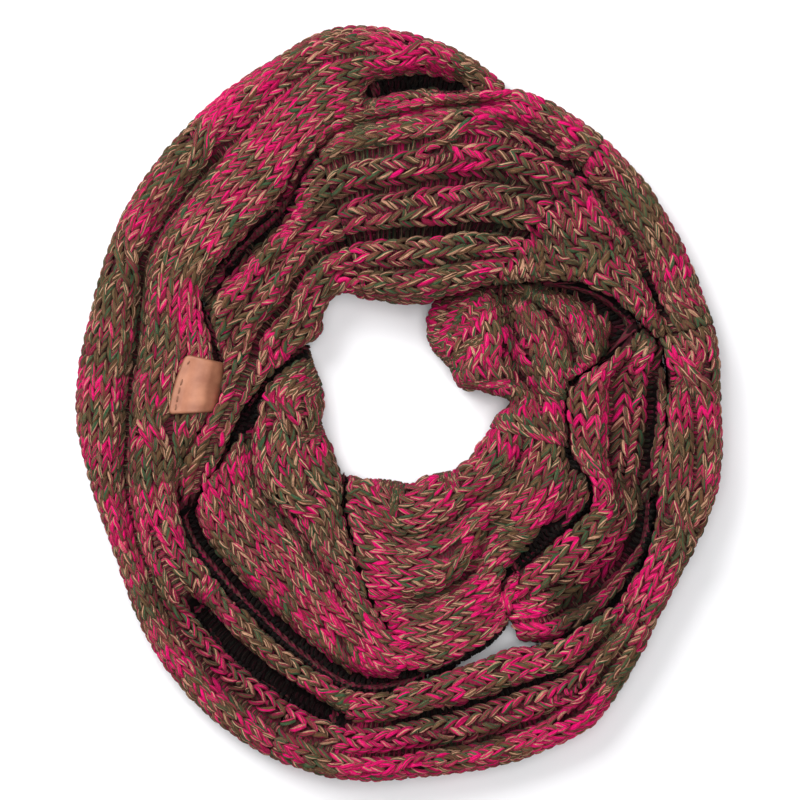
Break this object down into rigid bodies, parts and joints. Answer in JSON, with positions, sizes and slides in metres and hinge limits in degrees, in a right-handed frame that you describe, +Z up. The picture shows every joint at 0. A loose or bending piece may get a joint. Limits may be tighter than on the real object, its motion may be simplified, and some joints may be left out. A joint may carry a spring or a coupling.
{
  "type": "infinity scarf",
  "caption": "Chunky cable and rib knit infinity scarf, a closed band wound into a double ring and laid flat, with a plain leather tab on its edge.",
  "frame": {"origin": "middle of the scarf's outline, on the surface that it lies on", "axes": "+Z up from the surface; +Y along the winding's longer way, towards the crossing; +X to the right as seen from above"},
  "size_m": [0.3858, 0.4508, 0.0546],
  "materials": {
    "knit": "chunky marled acrylic yarn in hot pink, olive brown, green and beige, matt",
    "leather": "plain tan leather, satin, stitched with tan thread"
  },
  "bodies": {
    "root": {"outer_left": "knit", "outer_bottom": "knit", "outer_right": "knit", "upper_right": "knit", "top_over": "knit", "right_ribs": "knit", "inner_left_ribs": "knit", "inner_left_panel": "knit", "inner_bottom": "knit", "inner_right": "knit", "leather_tab": "leather"}
  },
  "joints": []
}
